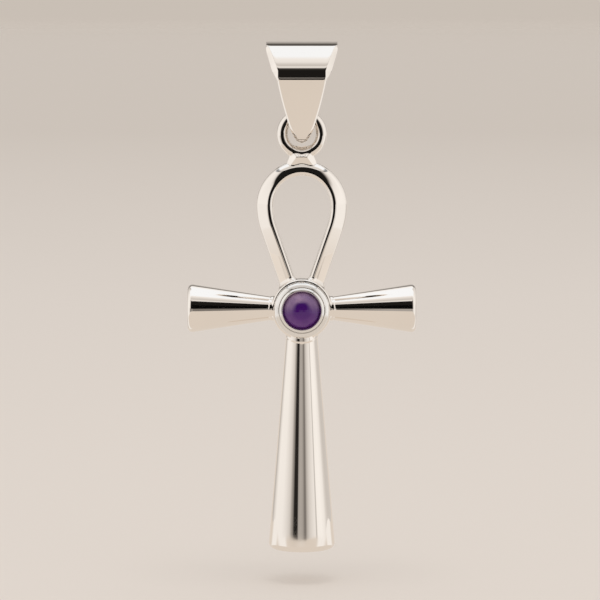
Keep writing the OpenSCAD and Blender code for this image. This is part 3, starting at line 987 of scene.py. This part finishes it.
def world_light(scene, studio):
    """Softboxes overhead and at the sides with gaps between them, and grey paper behind."""
    world = bpy.data.worlds.new("studio_light")
    scene.world = world
    world.use_nodes = True
    world.node_tree.nodes.clear()
    nodes = Nodes(world.node_tree)
    x, y, z = nodes.split(nodes.add("TexCoord").outputs["Generated"])
    climb = nodes.calc("DIVIDE", nodes.calc("ARCTAN2", z, nodes.times(y, -1.0)), math.pi)
    back_angle = nodes.calc("DIVIDE", nodes.calc("ARCCOSINE", y), math.pi)
    lean = nodes.calc("ARCTAN2", nodes.calc("ABSOLUTE", x), z)
    aside = nodes.fade(lean, *(math.radians(degrees) for degrees in CHANGE_OVER))
    light = nodes.mix(aside, nodes.ramp(climb, card(OVERHEAD)), nodes.ramp(back_angle, card(BESIDE)))
    light = nodes.mix(1.0, light, nodes.ramp(nodes.calc("DIVIDE", lean, math.pi), GAP), "MULTIPLY")
    reflected, seen, soft = (nodes.add("Background", {"Color": tint}).outputs["Background"]
                             for tint in (light, studio.backdrop, studio.fill))
    path = nodes.add("LightPath").outputs
    on_paper = nodes.mix_shader(path["Is Diffuse Ray"], reflected, soft)
    nodes.add("OutputWorld", {"Surface": nodes.mix_shader(path["Is Camera Ray"], on_paper, seen)})


def stage_mesh(name, corners, faces, material):
    """A surface of the studio, which is no piece of the pendant."""
    plane = new_mesh(name, corners, faces, material)
    return plane


def only_reflected(surface):
    """Hides a surface from all but reflections."""
    surface.visible_camera = False
    surface.visible_diffuse = False
    surface.visible_shadow = False


def tent_wall(studio, floor_z):
    """Curved card round the pendant, open behind, that only reflections show: dark in front, white beside."""
    s = in_mm(studio)
    pinch, pinch_start, pinch_end = 0.62, math.radians(104), math.radians(142)
    front_lift, least_lift = 4.4, 0.05
    corners = []
    for turn in np.radians(np.arange(-144, 145, 4)):
        reach = 1 / math.hypot(math.cos(turn) / s.tent_front, math.sin(turn) / s.tent_side)
        reach -= pinch * s.tent_side * ease(abs(turn), pinch_start, pinch_end)
        foot = floor_z + max(front_lift * (1 - (turn / (math.pi / 2)) ** 2), least_lift)
        x, y = reach * math.sin(turn), -reach * math.cos(turn)
        corners += [(x, y, foot), (x, y, s.tent_top)]
    faces = [(i, i + 2, i + 3, i + 1) for i in range(0, len(corners) - 2, 2)]
    material, nodes, _ = new_material("tent_wall")
    nodes.tree.nodes.clear()
    x, y, z = nodes.split(nodes.place())
    turn = nodes.calc("ARCTAN2", x, nodes.times(y, -1.0))
    around = nodes.calc("ADD", nodes.calc("DIVIDE", turn, 2 * math.pi), 0.5)
    low, high = (nodes.ramp(around, [(0.5 + degrees / 360, paper(level)) for degrees, level in levels])
                 for levels in (TENT_LOW, TENT_HIGH))
    rise = nodes.fade(z, *(height * MM for height in TENT_CHANGE))
    nodes.add("OutputMaterial", {"Surface": nodes.emission(nodes.mix(rise, low, high))})
    only_reflected(stage_mesh("tent_wall", corners, faces, material))


def black_flag():
    """Small black card before the loop, which draws the dark line along the loop's ridge."""
    material, nodes, shader = new_material("black_flag")
    nodes.fill(shader, {"Base Color": (0.004, 0.004, 0.004), "Specular IOR Level": 0.0})
    left, right, low, high, ahead = -22, 20, -22.5, -10, -40
    corners = [(left, ahead, low), (right, ahead, low), (right, ahead, high), (left, ahead, high)]
    only_reflected(stage_mesh("black_flag", corners, [(0, 1, 2, 3)], material))


def floor_material(studio):
    """Pale matt paper with a faint grain, which fades into the backdrop far behind."""
    material, nodes, shader = new_material("floor_paper")
    place = nodes.place()
    x, y, _ = nodes.split(place)
    away = nodes.add("VectorMath", {0: place}, operation="LENGTH").outputs["Value"]
    near, far = studio.floor_near, studio.floor_far
    ramp_length, fade_start, fade_end = 2.0, 2.2, 5.5
    # Painted light falloff: the floor's colour goes from lighter near the pendant to darker far behind.
    tone = nodes.ramp(nodes.fade(away, 0.0, ramp_length, kind="LINEAR"),
                      [(0.0, near), (0.15, near), (0.5, far), (1.0, far)])
    grain = nodes.fade(nodes.noise(place, 2500, 2), 0.2, 0.8, 0.985, 1.0)
    nodes.fill(shader, {"Base Color": nodes.mix(1.0, tone, grain, "MULTIPLY"), "Roughness": 0.9,
                        "Specular IOR Level": 0.1})
    # The metal sees tan paper under the pendant and white card to both sides of it.
    x_away, y_away = nodes.calc("ABSOLUTE", x), nodes.calc("ABSOLUTE", y)
    aside = nodes.fade(x_away, 0.062, 0.1)
    spread = nodes.calc("DIVIDE", x_away, nodes.calc("MAXIMUM", y, 0.001))
    behind = nodes.times(nodes.fade(spread, 1.0, 1.7), nodes.fade(y, 0.004, 0.014))
    level_with = nodes.fade(y_away, 0.08, 0.14, 1.0, 0.0)
    sides = nodes.times(nodes.calc("MAXIMUM", aside, behind), level_with)
    tan = (0.76, 0.685, 0.61)
    reflected = nodes.emission(nodes.mix(sides, tan, paper(0.97)))
    # Painted light: about a third of the floor glows in its own colour, so the pendant's shadow on it stays
    # faint.
    glow_lifted = nodes.mix_shader(0.36, shader.outputs["BSDF"], nodes.emission(tone, 0.9))
    surface = nodes.mix_shader(nodes.add("LightPath").outputs["Is Glossy Ray"], glow_lifted, reflected)
    under = nodes.add("NewGeometry").outputs["Backfacing"]
    hidden = nodes.calc("MAXIMUM", nodes.fade(away, fade_start, fade_end), under)
    clear = nodes.add("BsdfTransparent").outputs["BSDF"]
    nodes.fill(nodes.tree.nodes["Material Output"], {"Surface": nodes.mix_shader(hidden, surface, clear)})
    return material


class PENDANT_OT_studio(bpy.types.Operator):
    """Pale floor, soft studio light and the camera"""
    bl_idname = "pendant.studio"
    bl_label = "Studio"

    def execute(self, context):
        scene = context.scene
        studio = scene.pendant_studio
        floor_z = float(ankh_low[2]) - studio.floor_drop / MM
        reach = 6500
        corners = [(-reach, -reach, 0), (reach, -reach, 0), (reach, reach, 0), (-reach, reach, 0)]
        floor = stage_mesh("floor", corners, [(0, 1, 2, 3)], floor_material(studio))
        floor.location = (0, 0, floor_z * MM)
        tent_wall(studio, floor_z)
        black_flag()
        world_light(scene, studio)
        lamp = bpy.data.lights.new("overhead_key", "AREA")
        lamp.shape = "DISK"
        lamp.size = 0.16
        lamp.energy = studio.key_power
        lamp.color = (1.0, 0.985, 0.96)
        key = place_object("overhead_key", lamp)
        key.location = (0.01, -0.05, 0.30)
        key.rotation_euler = (math.radians(8), 0, 0)
        key.visible_glossy = False
        key.visible_camera = False
        lens = bpy.data.cameras.new("camera")
        lens.lens = studio.camera_lens
        lens.sensor_width = 36
        lens.clip_start = 0.01
        lens.clip_end = 100
        camera = place_object("camera", lens)
        away, tilt = studio.camera_distance, studio.camera_tilt
        camera.location = (studio.target_shift, -away * math.cos(tilt),
                           away * math.sin(tilt) - studio.target_drop)
        camera.rotation_euler = (math.pi / 2 - tilt, 0, 0)
        scene.camera = camera
        scene.view_settings.view_transform = "Standard"
        return {"FINISHED"}


class VIEW3D_PT_pendant(bpy.types.Panel):
    """Lists the pendant's pieces and settings"""
    bl_label = "Ankh Pendant"
    bl_space_type = "VIEW_3D"
    bl_region_type = "UI"
    bl_category = "Pendant"

    def draw(self, context):
        layout = self.layout
        for operator in STEPS:
            layout.operator(operator.bl_idname)
        for name, group in SETTINGS.items():
            box = layout.box()
            box.label(text=group.__name__)
            for entry in group.__annotations__:
                box.prop(getattr(context.scene, name), entry)


STEPS = (PENDANT_OT_bail, PENDANT_OT_ankh, PENDANT_OT_bezel, PENDANT_OT_stone, PENDANT_OT_studio)
CLASSES = (*SETTINGS.values(), *STEPS, VIEW3D_PT_pendant)


def register():
    for item in CLASSES:
        bpy.utils.register_class(item)
    for name, group in SETTINGS.items():
        setattr(bpy.types.Scene, name, bpy.props.PointerProperty(type=group))


def unregister():
    for name in SETTINGS:
        delattr(bpy.types.Scene, name)
    for item in reversed(CLASSES):
        bpy.utils.unregister_class(item)


def main():
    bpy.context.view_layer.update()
    register()
    bpy.ops.pendant.bail()
    bpy.ops.pendant.ankh()
    bpy.ops.pendant.bezel()
    bpy.ops.pendant.stone()
    bpy.ops.pendant.studio()


if __name__ == "__main__":
    main()
